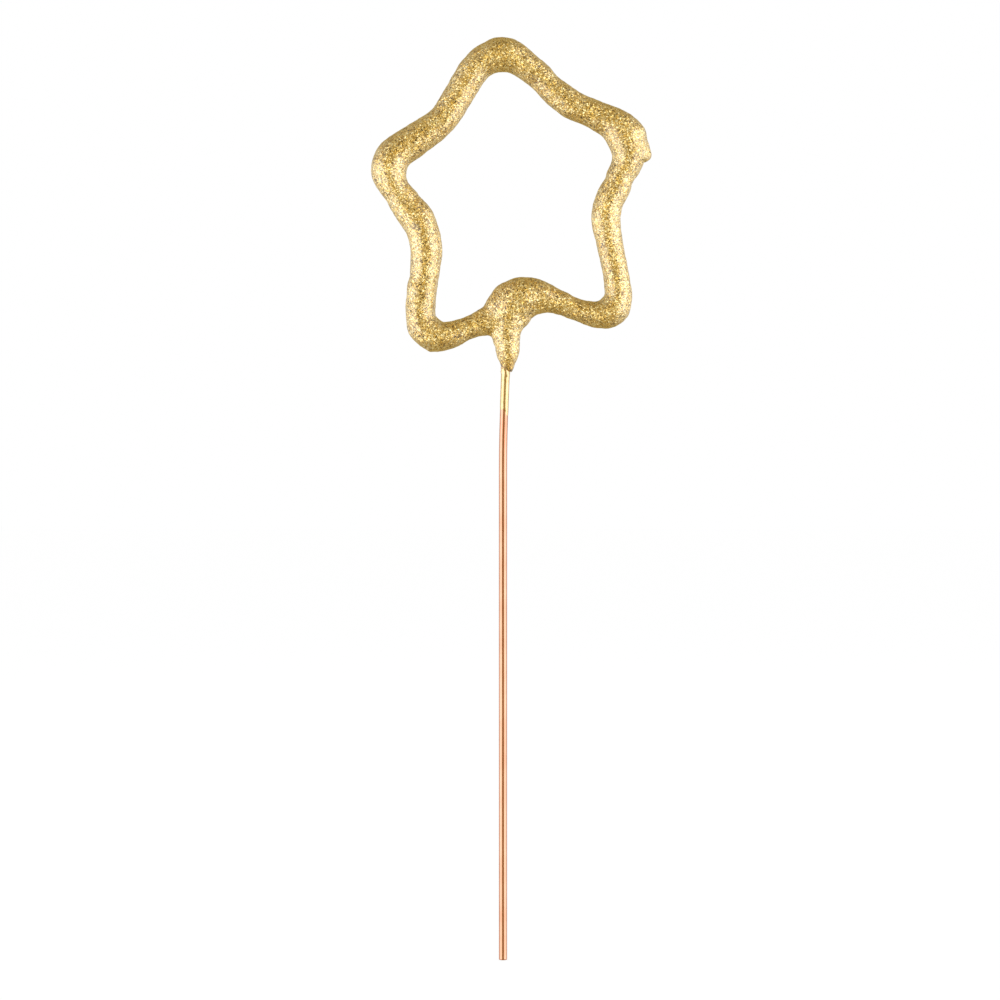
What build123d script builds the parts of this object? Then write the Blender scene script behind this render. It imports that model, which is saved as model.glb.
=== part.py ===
"""Star sparkler: a copper-plated steel wire bent into a star and dipped in spark composition.

The frame: the origin is the centre of the wire's cut foot, +Z runs up the stem, the star lies in
the XZ plane and its front looks along -Y. All lengths are in millimetres, all angles in degrees.
"""

import math
import os
from itertools import pairwise

from build123d import *

# Wire: one drawn length makes the stem and the whole star
wire_diameter = 1.6
stem_length = 131.8  # from the cut foot to the corner where the stem turns into the star
stem_lean_length = 31.0  # upper stretch of the stem, which leans towards the star
lean_bend_radius = 300.0
tail_drop = 5.7  # the wire's far end meets the stem this far below the stem's corner
tail_gap = 0.1  # and stops this far short of it

# Star: its corners are set out from its centre
star_offset = 1.4  # how far the star's centre lies to the right of the foot
root_reach = 15.2  # from the centre down to the stem's corner
tip_reach = 31.0
valley_reach = 19.0
root_bend_radius = 5.2
tip_bend_radius = 5.3
valley_bend_radius = 11.0

# Dips: radii from the wire's centre to the dried skin
coat_radius = 2.9
gold_dip_thickness = 0.5
neck_radius = 2.4
neck_length = 16.9  # from the stem's corner down to the foot of the dips
nose_length = 5.0  # the neck rounds down to the wire over this length
first_dip_setback = 1.0  # the first dip's nose starts this far above the gold dip's
film_thickness = 0.06  # gold that drained down the bare wire under the neck
film_length = 7.6
section_pitch = 2.3  # spacing of the round sections that a dip is lofted through

# Bead: composition that gathered where the wire's far end meets the stem
bead_drop = 4.8  # from the stem's corner down to the bead's middle
bead_radius = 4.9  # in the plane of the star
bead_depth = 2.5  # to the front and to the back

# Drip that set on the right-hand tip, pointing the way the star hung to dry
drip_bearing = -26.0
drip_length = 5.3  # from the wire's centre to the drip's end
drip_radius = 1.6
drip_taper = 18.0

# How this wire was bent, in order along it from the stem. Each corner has its bearing from the star's
# centre, its reach and bend against the nominal ones, and the build-up of the dips against
# coat_radius, at the corner and halfway along the run that follows it.
ROOT = (root_reach, root_bend_radius)
TIP = (tip_reach, tip_bend_radius)
VALLEY = (valley_reach, valley_bend_radius)
star_corners = [
    # kind, bearing, reach, bend, at the corner, on the run
    (ROOT, -91.2, 1.00, 1.00, 1.30, 0.79),
    (TIP, -46.2, 1.05, 0.78, 1.07, 0.84),
    (VALLEY, -3.4, 0.97, 0.97, 0.99, 0.99),
    (TIP, 28.4, 0.94, 1.20, 1.30, 0.97),
    (VALLEY, 57.2, 1.21, 1.09, 0.99, 0.92),
    (TIP, 95.5, 1.075, 1.25, 1.18, 1.00),
    (VALLEY, 129.2, 1.105, 1.00, 0.98, 1.10),
    (TIP, 162.6, 0.875, 0.95, 1.21, 0.98),
    (VALLEY, 200.2, 0.88, 0.95, 1.10, 0.97),
    (TIP, 236.4, 1.085, 0.85, 1.10, 0.78),
]
right_tip = 3  # its place in the list
junction_build_up = 0.90  # of the dips where the star's far end runs into the neck

wire_radius = wire_diameter / 2
film_radius = wire_radius + film_thickness
neck_foot = stem_length - neck_length
star_height = stem_length + root_reach
os.makedirs("parts", exist_ok=True)


def from_star_centre(bearing, reach):
    """A point in the plane of the star, as (x, z)."""
    angle = math.radians(bearing)
    return (star_offset + reach * math.cos(angle), star_height + reach * math.sin(angle))


# Route: foot, lean, the star's corners, and back to the stem, whose middle the dips run into
corners = [from_star_centre(bearing, kind[0] * reach) for kind, bearing, reach, *_ in star_corners]
bends = [kind[1] * bend for kind, _, _, bend, *_ in star_corners]
root, last_tip = corners[0], corners[-1]
lean_start = (0, stem_length - stem_lean_length)
junction_height = stem_length - tail_drop
junction_x = root[0] * (junction_height - lean_start[1]) / (root[1] - lean_start[1])
junction = (junction_x, junction_height)
tail_rise = math.atan2(junction_height - last_tip[1], junction_x - last_tip[0])
tail_stop = wire_radius * (1 + math.sin(tail_rise)) + tail_gap
tail_end = (junction_x - tail_stop, junction_height - tail_stop * math.tan(tail_rise))

with BuildLine(Plane.XZ) as wire_route:
    FilletPolyline((0, 0), lean_start, *corners, tail_end, radius=[lean_bend_radius, *bends])
with BuildLine(Plane.XZ) as dip_route:
    FilletPolyline((0, 0), lean_start, *corners, junction, radius=[lean_bend_radius, *bends])
route = dip_route.wires()[0]


def place(length):
    """The plane square to the wire, this far along it from the foot."""
    return Plane(
        origin=route.position_at(length, PositionMode.LENGTH),
        x_dir=(0, 1, 0),
        z_dir=route.tangent_at(length, PositionMode.LENGTH),
    )


# Lengths along the wire to the middle of each bend and each run of the star. The stem, its lean bend and
# its upper stretch come first, then the star's bends and runs in turn.
ends = [0]
for edge in route.edges():
    ends.append(ends[-1] + edge.length)
middles = [(start + end) / 2 for start, end in pairwise(ends)]
bend_middles, run_middles = middles[3::2], middles[4::2]

bead_middle = route.position_at(stem_length - bead_drop, PositionMode.LENGTH)
bead_axis = Axis(bead_middle, (0, 1, 0))


def dip_limbs(foot, depth):
    """The limbs of the dipped body that lies this deep under the skin, as (length, radius) sections.

    The first limb has the rounded nose, which starts at the foot, the neck and the stem's corner. The
    next ones have a corner each, the last runs straight into the neck, and limbs meet halfway along the
    runs. Between the set radii a dip swells and thins smoothly.
    """
    neck = neck_foot + nose_length
    steps = math.ceil((neck - foot) / section_pitch) + 1
    nose = []
    for step in range(steps):
        share = step / steps
        rounded = math.sin(share * math.pi / 2)
        radius = film_radius + (neck_radius - depth - film_radius) * rounded
        nose.append((foot + (neck - foot) * share, radius))

    knots = [(neck, neck_radius - depth)]
    for (*_, at_corner, on_run), bend, run in zip(star_corners, bend_middles, run_middles):
        knots.append((bend, coat_radius * at_corner - depth))
        knots.append((run, coat_radius * on_run - depth))
    knots.append((ends[-1], coat_radius * junction_build_up - depth))

    limbs = [nose]
    for (start, first), (end, last) in pairwise(knots):
        if start in run_middles:
            limbs[-1].append((start, first))
            limbs.append([])
        steps = math.ceil((end - start) / section_pitch)
        for step in range(steps):
            share = step / steps
            smooth = (1 - math.cos(share * math.pi)) / 2
            limbs[-1].append((start + (end - start) * share, first + (last - first) * smooth))
    limbs[-1].append(knots[-1])
    return limbs


def bead_section(depth):
    """Half the section of the bead that lies this deep under the skin: a disc with a round rim."""
    rim_radius = bead_depth - depth
    rim_middle = bead_radius - bead_depth
    with BuildSketch(Plane(bead_middle)) as section:
        with Locations((rim_middle, 0)):
            Circle(rim_radius)
        Rectangle(rim_middle, 2 * rim_radius, align=(Align.MIN, Align.CENTER))
        Rectangle(bead_radius, 2 * bead_depth, align=(Align.MAX, Align.CENTER), mode=Mode.SUBTRACT)
    return section.sketch


# Core wire: drawn steel with a copper flash, bent cold
with BuildPart() as core_wire:
    with BuildSketch(Plane.XY):
        Circle(wire_radius)
    sweep(path=wire_route.wires()[0])
core_wire.part.label = "core_wire"
export_step(core_wire.part, "parts/core_wire.step")

# First dip: the grey spark composition that burns, dried on the wire
with BuildPart() as first_dip_body:
    for limb in dip_limbs(neck_foot + first_dip_setback, gold_dip_thickness):
        for length, radius in limb:
            with BuildSketch(place(length)):
                Circle(radius)
        loft()
    revolve(bead_section(gold_dip_thickness), axis=bead_axis)
with BuildPart() as first_dip_coat:
    add(first_dip_body.part)
    add(core_wire.part, mode=Mode.SUBTRACT)
first_dip_coat.part.label = "first_dip_coat"
export_step(first_dip_coat.part, "parts/first_dip_coat.step")

# Gold dip: composition with gold flake over the first dip, down to the rounded nose on the stem
tip_middle = route.position_at(bend_middles[right_tip], PositionMode.LENGTH)
drip_angle = math.radians(drip_bearing)
drip_way = (math.cos(drip_angle), 0, math.sin(drip_angle))
drip_place = Plane(origin=tip_middle, x_dir=(0, 1, 0), z_dir=drip_way)
drip_cone = drip_length - drip_radius
drip_root_radius = drip_radius + drip_cone * math.tan(math.radians(drip_taper))
with BuildPart() as gold_dip_coat:
    for limb in dip_limbs(neck_foot, 0):
        for length, radius in limb:
            with BuildSketch(place(length)):
                Circle(radius)
        loft()
    revolve(bead_section(0), axis=bead_axis)
    with BuildSketch(drip_place):
        Circle(drip_root_radius)
    extrude(amount=drip_cone, taper=drip_taper)
    with Locations(drip_place.offset(drip_cone)):
        Sphere(drip_radius)
    add(first_dip_body.part, mode=Mode.SUBTRACT)
    add(core_wire.part, mode=Mode.SUBTRACT)
gold_dip_coat.part.label = "gold_dip_coat"
export_step(gold_dip_coat.part, "parts/gold_dip_coat.step")

# Gold film: a thin sleeve on the bare wire, from the foot of the dips down
with BuildPart() as gold_film:
    with BuildSketch(place(neck_foot)):
        Circle(film_radius)
        Circle(wire_radius, mode=Mode.SUBTRACT)
    extrude(amount=-film_length)
gold_film.part.label = "gold_film"
export_step(gold_film.part, "parts/gold_film.step")
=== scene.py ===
import math

import bmesh
import bpy
from mathutils import Matrix, Vector, noise
from mathutils.bvhtree import BVHTree


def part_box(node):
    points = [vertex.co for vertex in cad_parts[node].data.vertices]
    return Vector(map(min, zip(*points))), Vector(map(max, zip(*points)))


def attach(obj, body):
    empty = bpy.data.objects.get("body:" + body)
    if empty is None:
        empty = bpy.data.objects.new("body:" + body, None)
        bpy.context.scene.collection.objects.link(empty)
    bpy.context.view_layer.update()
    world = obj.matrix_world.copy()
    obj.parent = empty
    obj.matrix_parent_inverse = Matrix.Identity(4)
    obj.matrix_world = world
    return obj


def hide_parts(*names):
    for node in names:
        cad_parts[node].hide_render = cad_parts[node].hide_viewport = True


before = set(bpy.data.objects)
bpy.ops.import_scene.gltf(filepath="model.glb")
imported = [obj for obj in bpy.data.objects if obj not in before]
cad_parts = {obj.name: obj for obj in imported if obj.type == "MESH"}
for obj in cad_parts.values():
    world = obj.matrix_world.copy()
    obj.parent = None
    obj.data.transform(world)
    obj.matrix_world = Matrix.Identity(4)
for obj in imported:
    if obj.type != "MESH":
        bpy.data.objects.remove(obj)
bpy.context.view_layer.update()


# Core wire: one length of 1.6 mm drawn steel wire with a copper flash. It is the stem, and inside the
# dips it is the star. Drawing left fine lines along it, and the foot is a plain cut, broken at its rim.
MM = 0.001
merge_distance = 0.002 * MM
sharp_angle = math.radians(40)


def linear(hex_colour):
    """An sRGB hex colour as linear RGBA."""
    channels = [int(hex_colour[i : i + 2], 16) / 255 for i in (1, 3, 5)]
    return (*(c / 12.92 if c <= 0.04045 else ((c + 0.055) / 1.055) ** 2.4 for c in channels), 1)


def add_node(tree, kind, inputs=None, stops=None, **settings):
    """A new node with its settings and ramp stops, its inputs linked from sockets or set to values."""
    node = tree.nodes.new(kind)
    for name, value in settings.items():
        setattr(node, name, value)
    for number, (position, colour) in enumerate(stops or []):
        elements = node.color_ramp.elements
        element = elements[number] if number < len(elements) else elements.new(position)
        element.position = position
        element.color = linear(colour)
    for name, value in (inputs or {}).items():
        if isinstance(value, bpy.types.NodeSocket):
            tree.links.new(value, node.inputs[name])
        else:
            node.inputs[name].default_value = value
    return node


def new_material(name):
    """An empty material and its node tree."""
    material = bpy.data.materials.new(name)
    material.use_nodes = True
    material.node_tree.nodes.clear()
    return material, material.node_tree


def merged_copy(node):
    """A bmesh of a CAD node with its loose triangles joined."""
    copy = bmesh.new()
    copy.from_mesh(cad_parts[node].data)
    bmesh.ops.remove_doubles(copy, verts=copy.verts, dist=merge_distance)
    return copy


def finish_piece(name, shape, material, node):
    """Makes the object from its bmesh, smooth, and ties it to the frame."""
    mesh = bpy.data.meshes.new(name)
    shape.to_mesh(mesh)
    shape.free()
    mesh.materials.append(material)
    mesh.shade_smooth()
    mesh.set_sharp_from_angle(angle=sharp_angle)
    piece = bpy.data.objects.new(name, mesh)
    bpy.context.scene.collection.objects.link(piece)
    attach(piece, "root")
    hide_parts(node)


foot_flatness = 0.01 * MM
foot_fold = math.radians(60)
foot_break = 0.09 * MM
wire = merged_copy("core_wire")
foot_edges = [edge for edge in wire.edges if all(abs(v.co.z) < foot_flatness for v in edge.verts)]
foot_rim = [edge for edge in foot_edges if edge.calc_face_angle(0) > foot_fold]
bmesh.ops.bevel(
    wire, geom=foot_rim, offset=foot_break, affect="EDGES", segments=2, profile=0.5, material=-1
)

# A ring of edges close above the foot keeps the broken rim out of the shading of the stem's long faces.
# The cut crosses the long faces' diagonals right beside their uprights, so its points are merged.
ring_height = 0.3 * MM
ring_merge = 0.01 * MM
ring = bmesh.ops.bisect_plane(
    wire,
    geom=[*wire.verts, *wire.edges, *wire.faces],
    plane_co=(0, 0, ring_height),
    plane_no=(0, 0, 1),
)["geom_cut"]
ring_verts = [part for part in ring if isinstance(part, bmesh.types.BMVert)]
bmesh.ops.remove_doubles(wire, verts=ring_verts, dist=ring_merge)

# Copper flash on drawn steel: a bright, slightly satin metal, streaked along the wire where the die
# rubbed it thin, with faint brown patches where it has begun to tarnish. The streaks are drawn several
# times as wide as real ones, so that they show.
streak_width, streak_length = 0.15 * MM, 40 * MM
streak_depth = 0.01 * MM
tarnish_size = 6 * MM
tarnish_share = 0.45
copper, tree = new_material("copper_flashed_drawn_steel")
place = add_node(tree, "ShaderNodeTexCoord").outputs["Object"]
drawn = add_node(
    tree,
    "ShaderNodeMapping",
    {"Vector": place, "Scale": (1 / streak_width, 1 / streak_width, 1 / streak_length)},
)
streaks = add_node(
    tree, "ShaderNodeTexNoise", {"Vector": drawn.outputs["Vector"], "Scale": 1.0, "Detail": 3.0}
)
patches = add_node(
    tree, "ShaderNodeTexNoise", {"Vector": place, "Scale": 1 / tarnish_size, "Detail": 4.0}
)
wear = add_node(
    tree,
    "ShaderNodeMix",
    {"Factor": tarnish_share, "A": streaks.outputs["Fac"], "B": patches.outputs["Fac"]},
)
tone = add_node(
    tree,
    "ShaderNodeValToRGB",
    {"Fac": wear.outputs["Result"]},
    stops=[(0.3, "#c48468"), (0.7, "#e6b198")],
)
satin = add_node(
    tree, "ShaderNodeMapRange", {"Value": streaks.outputs["Fac"], "To Min": 0.1, "To Max": 0.2}
)
lines = add_node(
    tree,
    "ShaderNodeBump",
    {"Strength": 0.15, "Distance": streak_depth, "Height": streaks.outputs["Fac"]},
)
shader = add_node(
    tree,
    "ShaderNodeBsdfPrincipled",
    {
        "Base Color": tone.outputs["Color"],
        "Metallic": 1.0,
        "Roughness": satin.outputs["Result"],
        "Normal": lines.outputs["Normal"],
    },
)
add_node(tree, "ShaderNodeOutputMaterial", {"Surface": shader.outputs["BSDF"]})
finish_piece("drawn_wire", wire, copper, "core_wire")


# First dip: grey spark composition, a dried paste of metal grit and oxidiser, which burns. It is wholly
# inside the gold dip, so the solid stays as it is and takes the paste's granular finish.
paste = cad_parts["first_dip_coat"]

# Dried spark paste: matt and grey, with paler grains of metal grit standing out of it.
grit_size, grit_depth = 0.35 * MM, 0.1 * MM
grey, tree = new_material("dried_spark_paste")
place = add_node(tree, "ShaderNodeTexCoord").outputs["Object"]
grit = add_node(
    tree, "ShaderNodeTexVoronoi", {"Vector": place, "Scale": 1 / grit_size, "Randomness": 1.0}
)
tone = add_node(
    tree,
    "ShaderNodeValToRGB",
    {"Fac": grit.outputs["Distance"]},
    stops=[(0.1, "#8c8a86"), (0.8, "#4c4a48")],
)
relief = add_node(
    tree,
    "ShaderNodeBump",
    {"Strength": 0.6, "Distance": grit_depth, "Height": grit.outputs["Distance"]},
)
shader = add_node(
    tree,
    "ShaderNodeBsdfPrincipled",
    {"Base Color": tone.outputs["Color"], "Roughness": 0.85, "Normal": relief.outputs["Normal"]},
)
add_node(tree, "ShaderNodeOutputMaterial", {"Surface": shader.outputs["BSDF"]})
paste.data.materials.clear()
paste.data.materials.append(grey)


# Gold dip: composition with brass flake over the first dip. It dried as one thick skin, smooth in the
# forks, gently lumpy along the limbs and sandy all over from the flakes and grit in it.
shell = merged_copy("gold_dip_coat")


def surface_of(node):
    """A search tree of a CAD node's surface."""
    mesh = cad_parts[node].data
    return BVHTree.FromPolygons(
        [v.co for v in mesh.vertices], [p.vertices for p in mesh.polygons]
    )


def part_of(shape, faces):
    """A copy of a bmesh without these faces."""
    shape.faces.index_update()
    numbers = {face.index for face in faces}
    part = shape.copy()
    bmesh.ops.delete(part, geom=[f for f in part.faces if f.index in numbers], context="FACES")
    return part


# The faces that touch the paste or the wire are the solid's inner wall, and the rest its outer wall
paste_touch, wire_touch = 0.2 * MM, 0.03 * MM
paste_surface = surface_of("first_dip_coat")
wire_surface = surface_of("core_wire")
touching = set()
for v in shell.verts:
    *_, paste_gap = paste_surface.find_nearest(v.co)
    *_, wire_gap = wire_surface.find_nearest(v.co)
    if paste_gap < paste_touch or wire_gap < wire_touch:
        touching.add(v)
inner_faces = [face for face in shell.faces if touching.issuperset(face.verts)]
outer_faces = [face for face in shell.faces if not touching.issuperset(face.verts)]
skin = part_of(shell, inner_faces)
inner_wall = part_of(shell, outer_faces)
shell.free()

# The stem leans where the nose ends on it
sleeve = [v.co.copy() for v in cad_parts["gold_film"].data.vertices]
sleeve_middle = sum(sleeve, Vector()) / len(sleeve)
upper = [co for co in sleeve if co.z > sleeve_middle.z]
nose_foot = sum(upper, Vector()) / len(upper)
lean = math.atan2(nose_foot.x - sleeve_middle.x, nose_foot.z - sleeve_middle.z)
stem_turn = Matrix.Rotation(lean, 4, "Y")

# The outer wall, run on down the stem and closed there, gets an even grid
stub_length = 2.2 * MM
stub_flare = 1.2
grid_size = 0.262 * MM
rim = [edge for edge in skin.edges if edge.is_boundary]
stub = bmesh.ops.extrude_edge_only(skin, edges=rim)["geom"]
stub_rim = [part for part in stub if isinstance(part, bmesh.types.BMVert)]
bmesh.ops.scale(
    skin, vec=(stub_flare, stub_flare, 1), space=Matrix.Translation(-nose_foot), verts=stub_rim
)
bmesh.ops.translate(skin, vec=stem_turn @ Vector((0, 0, -stub_length)), verts=stub_rim)
bmesh.ops.holes_fill(skin, edges=[edge for edge in skin.edges if edge.is_boundary])
mesh = bpy.data.meshes.new("skin_grid")
skin.to_mesh(mesh)
skin.free()
gridded = bpy.data.objects.new("skin_grid", mesh)
bpy.context.scene.collection.objects.link(gridded)
remesh = gridded.modifiers.new("even_grid", "REMESH")
remesh.mode = "VOXEL"
remesh.voxel_size = grid_size
depsgraph = bpy.context.evaluated_depsgraph_get()
mesh = bpy.data.meshes.new_from_object(gridded.evaluated_get(depsgraph))
bpy.data.objects.remove(gridded)
skin = bmesh.new()
skin.from_mesh(mesh)

# Where the wet dip gathered or drew thin, in the plane of the star: x, z, reach and move in x and z
gathered_mm = [
    (2.0, 132.8, 3.4, -0.25, 0.52),
    (-1.0, 131.0, 2.6, -0.30, 0.35),
    (-3.4, 128.0, 2.4, -0.20, 0.40),
    (-5.4, 126.4, 3.0, -0.10, 0.40),
    (-4.6, 126.9, 1.8, 0.00, 0.22),
    (-2.9, 129.0, 1.6, 0.15, -0.10),
    (-0.3, 132.2, 2.0, -0.12, 0.36),
    (8.0, 132.3, 3.5, 0.00, -0.18),
    (-5.8, 121.0, 3.0, 0.00, 0.18),
    (-2.4, 121.4, 2.2, -0.25, -0.95),
    (-2.1, 121.4, 1.4, -0.30, -0.30),
    (3.3, 121.2, 1.8, 0.22, 0.00),
    (4.9, 124.2, 1.9, -0.62, 0.58),
    (7.0, 126.0, 2.2, 0.00, -0.68),
    (1.4, 117.8, 5.0, 0.40, 0.00),
    (-0.4, 116.0, 1.8, 0.22, 0.00),
    (1.6, 115.0, 1.4, 0.06, -0.45),
    (-5.8, 178.0, 5.0, 0.44, -0.56),
    (5.6, 177.9, 4.5, -0.20, -0.42),
    (-15.2, 140.5, 8.0, -0.38, 0.00),
    (-23.4, 150.0, 4.5, 0.36, 0.14),
    (-20.2, 144.8, 4.5, -0.40, -0.08),
    (-14.3, 146.8, 4.0, 0.36, 0.12),
    (-17.6, 151.8, 2.4, -0.26, -0.16),
    (-14.8, 165.2, 3.5, -0.08, 0.24),
    (-19.3, 125.2, 3.5, 0.36, 0.00),
    (-18.9, 131.2, 3.5, -0.24, 0.00),
    (-14.2, 119.0, 0.8, -0.05, -0.35),
    (-9.4, 119.6, 5.0, 0.00, 0.42),
    (25.3, 129.8, 5.0, -0.52, 0.06),
    (18.8, 137.0, 4.0, -0.26, 0.00),
    (17.6, 123.3, 5.0, 0.00, 0.44),
    (15.6, 129.2, 4.0, 0.00, -0.34),
    (20.3, 145.0, 9.0, -0.24, 0.00),
    (20.6, 159.6, 3.0, -0.25, -0.10),
    (27.9, 161.4, 3.5, 0.30, 0.10),
    (29.2, 158.7, 1.7, -0.58, 0.00),
    (28.4, 160.4, 1.5, -0.26, 0.00),
    (28.7, 156.6, 1.8, 0.38, -0.68),
    (27.8, 155.0, 1.7, -0.62, 0.14),
    (26.3, 152.4, 3.8, -0.50, 0.00),
    (15.0, 162.4, 4.0, 0.00, 0.36),
    (8.6, 167.4, 4.0, -0.15, -0.18),
    (11.6, 172.2, 4.0, -0.20, -0.30),
    (19.4, 167.6, 4.5, 0.05, 0.25),
]
for v in skin.verts:
    x, z = v.co.x / MM, v.co.z / MM
    for near_x, near_z, reach, move_x, move_z in gathered_mm:
        away = ((x - near_x) ** 2 + (z - near_z) ** 2) / reach**2
        if away < 1:
            v.co.x += move_x * (1 - away) ** 2 * MM
            v.co.z += move_z * (1 - away) ** 2 * MM

# The dips flow together while wet, most of all in the fork where the star's ends meet
skin_rounds, fork_rounds = 8, 40
fork_middle = Vector((1.0 * MM, 0, 126.5 * MM))
fork_reach = 8 * MM
fork = [v for v in skin.verts if (v.co - fork_middle).length < fork_reach]
for rounds, verts in ((skin_rounds, skin.verts), (fork_rounds, fork)):
    for _ in range(rounds):
        bmesh.ops.smooth_vert(
            skin, verts=verts, factor=0.5, use_axis_x=True, use_axis_y=True, use_axis_z=True
        )

# Lumps, ripples and grit, each as (size, height), and the pits that burst bubbles left in the front, as
# (x, z), all in millimetres
relief_mm = [(7.0, 0.10), (2.2, 0.08), (0.95, 0.055), (0.5, 0.035)]
pits_mm = [(-19.3, 147.6), (-16.6, 143.7), (-17.8, 133.4), (-18.5, 127.7), (-17.7, 126.5)]
pit_radius_mm, pit_depth_mm = 0.5, 0.3
skin.normal_update()
moves = []
for v in skin.verts:
    at = v.co / MM
    rise = sum(height * noise.noise(at / size) for size, height in relief_mm)
    for pit_x, pit_z in pits_mm:
        away = ((at.x - pit_x) ** 2 + (at.z - pit_z) ** 2) / pit_radius_mm**2
        if away < 1 and at.y < 0:
            rise -= pit_depth_mm * (1 - away) ** 2
    moves.append(v.normal * rise * MM)

# However deep the relief goes, a thin layer of gold stays over the paste
thinnest = 0.12 * MM
sunk_reach = 5 * thinnest
for v, move in zip(skin.verts, moves):
    v.co += move
    near, outward, _, gap = paste_surface.find_nearest(v.co)
    sunk = (v.co - near).dot(outward) < 0
    if sunk and gap < sunk_reach:
        v.co = near + outward * thinnest
    elif not sunk and gap < thinnest:
        v.co = near + (v.co - near).normalized() * thinnest

# The foot of the nose dried aslant on the stem, and there the outer wall turns in to the inner one
foot_lift = 0.37 * MM
foot_slant = math.radians(28)
foot_reach = 3 * MM
foot_middle = nose_foot + stem_turn @ Vector((0, 0, foot_lift))
for wall in (skin, inner_wall):
    around = [f for f in wall.faces if (f.calc_center_median() - foot_middle).length < foot_reach]
    bmesh.ops.bisect_plane(
        wall,
        geom=list(dict.fromkeys(part for f in around for part in (*f.verts, *f.edges, f))),
        plane_co=foot_middle,
        plane_no=stem_turn @ Vector((math.sin(foot_slant), 0, math.cos(foot_slant))),
        clear_inner=True,
    )
mesh = bpy.data.meshes.new("inner_wall")
inner_wall.to_mesh(mesh)
inner_wall.free()
skin.from_mesh(mesh)
bmesh.ops.bridge_loops(skin, edges=[edge for edge in skin.edges if edge.is_boundary])

# Brass flake in dried composition: each flake is a small mirror that lies its own way, so the skin
# glitters, brown in the shade, and the hard binder over the flakes lays soft, pale bands on it towards
# the light. Towards the foot of the nose the tone is darkened as painted shade. Flakes and grains
# are drawn at about twice their real size, so that they show.
flake_size, flake_lean = 0.2 * MM, 0.82
grain_size = 0.23 * MM
cloud_size, cloud_share = 2.5 * MM, 0.3
# Painted shade at the foot of the nose: over this length from the foot the flakes' tone dims to this
# share
shade_length, shade_level = 2.2 * MM, 0.4
gold, tree = new_material("brass_flake_composition")
place = add_node(tree, "ShaderNodeTexCoord").outputs["Object"]
flakes = add_node(
    tree, "ShaderNodeTexVoronoi", {"Vector": place, "Scale": 1 / flake_size, "Randomness": 1.0}
)
grains = add_node(
    tree, "ShaderNodeTexVoronoi", {"Vector": place, "Scale": 1 / grain_size, "Randomness": 1.0}
)
chance = add_node(tree, "ShaderNodeSeparateColor", {"Color": grains.outputs["Color"]})
clouds = add_node(
    tree, "ShaderNodeTexNoise", {"Vector": place, "Scale": 1 / cloud_size, "Detail": 3.0}
)
brightness = add_node(
    tree,
    "ShaderNodeMix",
    {"Factor": cloud_share, "A": chance.outputs["Red"], "B": clouds.outputs["Fac"]},
)
spot = add_node(tree, "ShaderNodeSeparateXYZ", {"Vector": place})
# Painted shade: the tone darkens towards the foot of the nose, at the crust's lower end
nose_foot_shade = add_node(
    tree,
    "ShaderNodeMapRange",
    {
        "Value": spot.outputs["Z"],
        "From Min": nose_foot.z,
        "From Max": nose_foot.z + shade_length,
        "To Min": shade_level,
        "To Max": 1.0,
    },
)
shaded_brightness = add_node(
    tree,
    "ShaderNodeMath",
    {0: brightness.outputs["Result"], 1: nose_foot_shade.outputs["Result"]},
    operation="MULTIPLY",
)
tone = add_node(
    tree,
    "ShaderNodeValToRGB",
    {"Fac": shaded_brightness.outputs["Value"]},
    stops=[(0.16, "#5e4203"), (0.31, "#d8ab46"), (0.54, "#f0ce78"), (0.80, "#f8e8b4")],
)
tilt = add_node(
    tree,
    "ShaderNodeVectorMath",
    {0: flakes.outputs["Color"], 1: (0.5, 0.5, 0.5)},
    operation="SUBTRACT",
)
lying = add_node(
    tree, "ShaderNodeVectorMath", {0: tilt.outputs["Vector"], "Scale": flake_lean}, operation="SCALE"
)
outwards = add_node(tree, "ShaderNodeNewGeometry").outputs["Normal"]
leaning = add_node(
    tree, "ShaderNodeVectorMath", {0: outwards, 1: lying.outputs["Vector"]}, operation="ADD"
)
facing = add_node(
    tree, "ShaderNodeVectorMath", {0: leaning.outputs["Vector"]}, operation="NORMALIZE"
)
shader = add_node(
    tree,
    "ShaderNodeBsdfPrincipled",
    {
        "Base Color": tone.outputs["Color"],
        "Metallic": 1.0,
        "Roughness": 0.36,
        "Normal": facing.outputs["Vector"],
        "Coat Weight": 1.0,
        "Coat Roughness": 0.3,
        "Coat IOR": 2.0,
    },
)
add_node(tree, "ShaderNodeOutputMaterial", {"Surface": shader.outputs["BSDF"]})
finish_piece("gold_crust", skin, gold, "gold_dip_coat")


# Gold film: liquid with brass in it that drained down the bare wire from the nose and dried thin. It
# left a lumpy collar under the nose, and its ragged lower edge hangs further down on the right.
wire_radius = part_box("core_wire")[1][1]
film_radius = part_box("gold_film")[1][1]
film_length = 2 * (nose_foot - sleeve_middle).length
film_foot = Matrix.Translation(2 * sleeve_middle - nose_foot) @ stem_turn
film_sides, film_rows = 48, 48
end_flatness = 0.01 * MM
film = bmesh.new()
for radius in (wire_radius, film_radius):
    bmesh.ops.create_cone(
        film,
        segments=film_sides,
        radius1=radius,
        radius2=radius,
        depth=film_length,
        matrix=Matrix.Translation((0, 0, film_length / 2)),
    )
for end in (0, film_length):
    rims = [e for e in film.edges if all(abs(v.co.z - end) < end_flatness for v in e.verts)]
    bmesh.ops.bridge_loops(film, edges=rims)
bmesh.ops.recalc_face_normals(film, faces=film.faces)
upright = [e for e in film.edges if e.calc_length() > film_length / 2]
bmesh.ops.subdivide_edges(film, edges=upright, cuts=film_rows, use_grid_fill=True)

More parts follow.
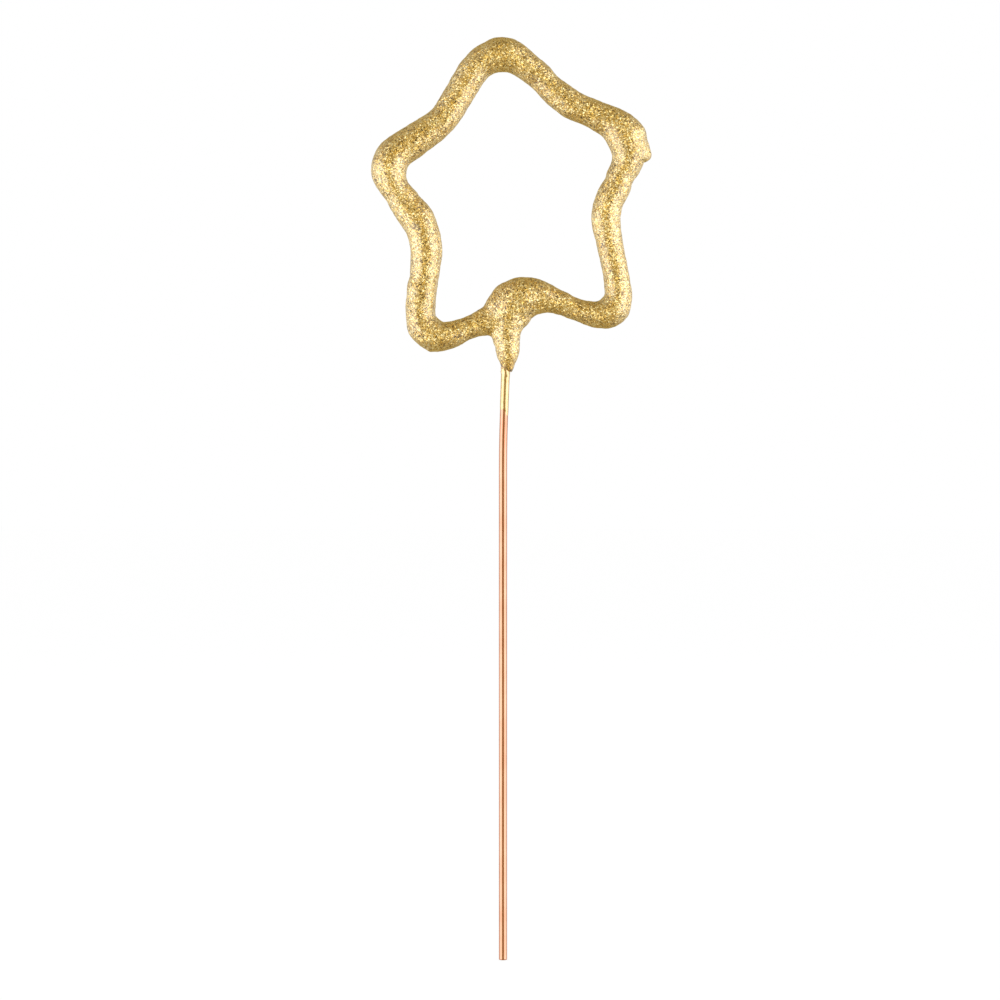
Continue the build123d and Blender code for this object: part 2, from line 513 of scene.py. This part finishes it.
# The lower edge hangs down by run_length from run_end on to the right, and the film thins towards it.
# The collar is fullest under the nose and fades out about its length below.
run_length, run_start, run_end = 1.1 * MM, 0.1 * MM, 0.5 * MM
ragged_height, ragged_size = 0.25 * MM, wire_radius / 2
tail_length, tail_share, film_share = 1.2 * MM, 0.15, 0.8
collar_length, collar_fade, collar_thickness = 1.3 * MM, 0.4, 0.13 * MM
lump_size, lump_level, lump_swing = 0.5 * MM, 0.6, 0.8
for v in film.verts:
    share = v.co.z / film_length
    across = Vector((v.co.x, v.co.y, 0))
    run = min(max((v.co.x - run_start) / (run_end - run_start), 0), 1)
    low = ragged_height * noise.noise(across / ragged_size) - run_length * run * run * (3 - 2 * run)
    high = film_length + foot_lift - v.co.x * math.tan(foot_slant)
    v.co.z = low + (high - low) * share
    if across.length > (wire_radius + film_radius) / 2:
        under_nose = (high - v.co.z) / collar_length
        collar = min(max((1 + collar_fade / 2 - under_nose) / collar_fade, 0), 1)
        lumps = lump_level + lump_swing * noise.noise(v.co / lump_size)
        thinned = min(tail_share + (v.co.z - low) / tail_length, film_share)
        thickness = (film_radius - wire_radius) * thinned + collar_thickness * collar * lumps
        v.co += across.normalized() * (wire_radius + thickness - across.length)
bmesh.ops.transform(film, matrix=film_foot, verts=film.verts)

# Brass in a thin run: no grit in it, so it is glossy and pale, with faint tide marks.
tide_size = 0.6 * MM
brass, tree = new_material("brass_flake_film")
place = add_node(tree, "ShaderNodeTexCoord").outputs["Object"]
tides = add_node(
    tree, "ShaderNodeTexNoise", {"Vector": place, "Scale": 1 / tide_size, "Detail": 3.0}
)
tone = add_node(
    tree,
    "ShaderNodeValToRGB",
    {"Fac": tides.outputs["Fac"]},
    stops=[(0.3, "#d4b584"), (0.7, "#e2c9a0")],
)
gloss = add_node(
    tree, "ShaderNodeMapRange", {"Value": tides.outputs["Fac"], "To Min": 0.18, "To Max": 0.34}
)
shader = add_node(
    tree,
    "ShaderNodeBsdfPrincipled",
    {"Base Color": tone.outputs["Color"], "Metallic": 1.0, "Roughness": gloss.outputs["Result"]},
)
add_node(tree, "ShaderNodeOutputMaterial", {"Surface": shader.outputs["BSDF"]})
finish_piece("drained_film", film, brass, "gold_film")


# Studio: a pale paper floor under the foot and four tall soft boxes at the sides, the two behind weak.
# Metal sees a room that is pale at the sides, and warmer and dimmer in front, behind, above and below.
# Most of the paper's white is a glow that the camera sees; the rest is lit and keeps the shadow.
floor_reach = 8.0
floor_gap = 0.05 * MM
floor_glow = 0.85
floor_shape = bmesh.new()
bmesh.ops.create_grid(
    floor_shape,
    x_segments=1,
    y_segments=1,
    size=floor_reach,
    matrix=Matrix.Translation((0, 0, -floor_gap)),
)
mesh = bpy.data.meshes.new("floor")
floor_shape.to_mesh(mesh)
floor_shape.free()
paper, tree = new_material("pale_studio_paper")
path = add_node(tree, "ShaderNodeLightPath")
white = add_node(tree, "ShaderNodeEmission", {"Color": (1, 1, 1, 1), "Strength": 1.0})
matte = add_node(tree, "ShaderNodeBsdfDiffuse", {"Color": linear("#fdfdfd")})
glow = add_node(
    tree, "ShaderNodeMath", {0: path.outputs["Is Camera Ray"], 1: floor_glow}, operation="MULTIPLY"
)
blend = add_node(
    tree,
    "ShaderNodeMixShader",
    {0: glow.outputs["Value"], 1: matte.outputs["BSDF"], 2: white.outputs["Emission"]},
)
add_node(tree, "ShaderNodeOutputMaterial", {"Surface": blend.outputs["Shader"]})
mesh.materials.append(paper)
floor = bpy.data.objects.new("floor", mesh)
bpy.context.scene.collection.objects.link(floor)
floor.visible_glossy = False
floor.visible_shadow = False

# Each soft box has its bearing in degrees, the height of its middle and its own height, in metres, and
# its radiance
box_distance = 0.7
box_width = 0.85
for name, bearing, middle, tall, radiance in (
    ("front_left_soft_box", -151, 0.04, 0.64, 1.5),
    ("front_right_soft_box", -29, 0.19, 0.88, 1.5),
    ("back_left_soft_box", 151, 0.04, 0.64, 0.3),
    ("back_right_soft_box", 29, 0.19, 0.88, 0.3),
):
    light = bpy.data.lights.new(name, "AREA")
    light.shape = "RECTANGLE"
    light.size = box_width
    light.size_y = tall
    light.energy = radiance * math.pi * box_width * tall
    lamp = bpy.data.objects.new(name, light)
    way = Vector((math.cos(math.radians(bearing)), math.sin(math.radians(bearing)), 0))
    lamp.location = Vector((0, 0, middle)) + way * box_distance
    lamp.rotation_euler = way.to_track_quat("Z", "Y").to_euler()
    bpy.context.scene.collection.objects.link(lamp)

# The room's level at the sides, in front and behind, and above and below. A colour Mix node shares its
# sockets' names with its number sockets, so they are taken by place.
room_levels = (1.0, 0.35, 0.37)
mix_first, mix_second, mix_result = 6, 7, 2
world = bpy.data.worlds.new("studio")
world.use_nodes = True
tree = world.node_tree
tree.nodes.clear()
path = add_node(tree, "ShaderNodeLightPath")
seen = add_node(tree, "ShaderNodeTexCoord").outputs["Generated"]
squares = add_node(tree, "ShaderNodeVectorMath", {0: seen, 1: seen}, operation="MULTIPLY")
level = add_node(
    tree,
    "ShaderNodeVectorMath",
    {0: squares.outputs["Vector"], 1: room_levels},
    operation="DOT_PRODUCT",
)
room = add_node(
    tree,
    "ShaderNodeValToRGB",
    {"Fac": level.outputs["Value"]},
    stops=[(0.35, "#b09e60"), (0.9, "#dedede")],
)
colour = add_node(
    tree,
    "ShaderNodeMix",
    {
        "Factor": path.outputs["Is Glossy Ray"],
        mix_first: (1, 1, 1, 1),
        mix_second: room.outputs["Color"],
    },
    data_type="RGBA",
)
back = add_node(
    tree, "ShaderNodeBackground", {"Color": colour.outputs[mix_result], "Strength": 1.0}
)
add_node(tree, "ShaderNodeOutputWorld", {"Surface": back.outputs["Background"]})
bpy.context.scene.world = world

# Camera: square on to the star, with a long lens and as far back as the photograph's flat view asks for.
# The picture is as wide as view_width where the star stands.
lens_mm, sensor_mm = 100, 36
view_width = 195.1 * MM
view_x, view_z = -0.585 * MM, 89.67 * MM
camera_data = bpy.data.cameras.new("camera")
camera_data.lens = lens_mm
camera_data.sensor_width = sensor_mm
camera_data.clip_start = 10 * MM
camera = bpy.data.objects.new("camera", camera_data)
camera.location = (view_x, -view_width * lens_mm / sensor_mm, view_z)
camera.rotation_euler = (math.pi / 2, 0, 0)
bpy.context.scene.collection.objects.link(camera)
bpy.context.scene.camera = camera
bpy.context.scene.view_settings.view_transform = "Standard"
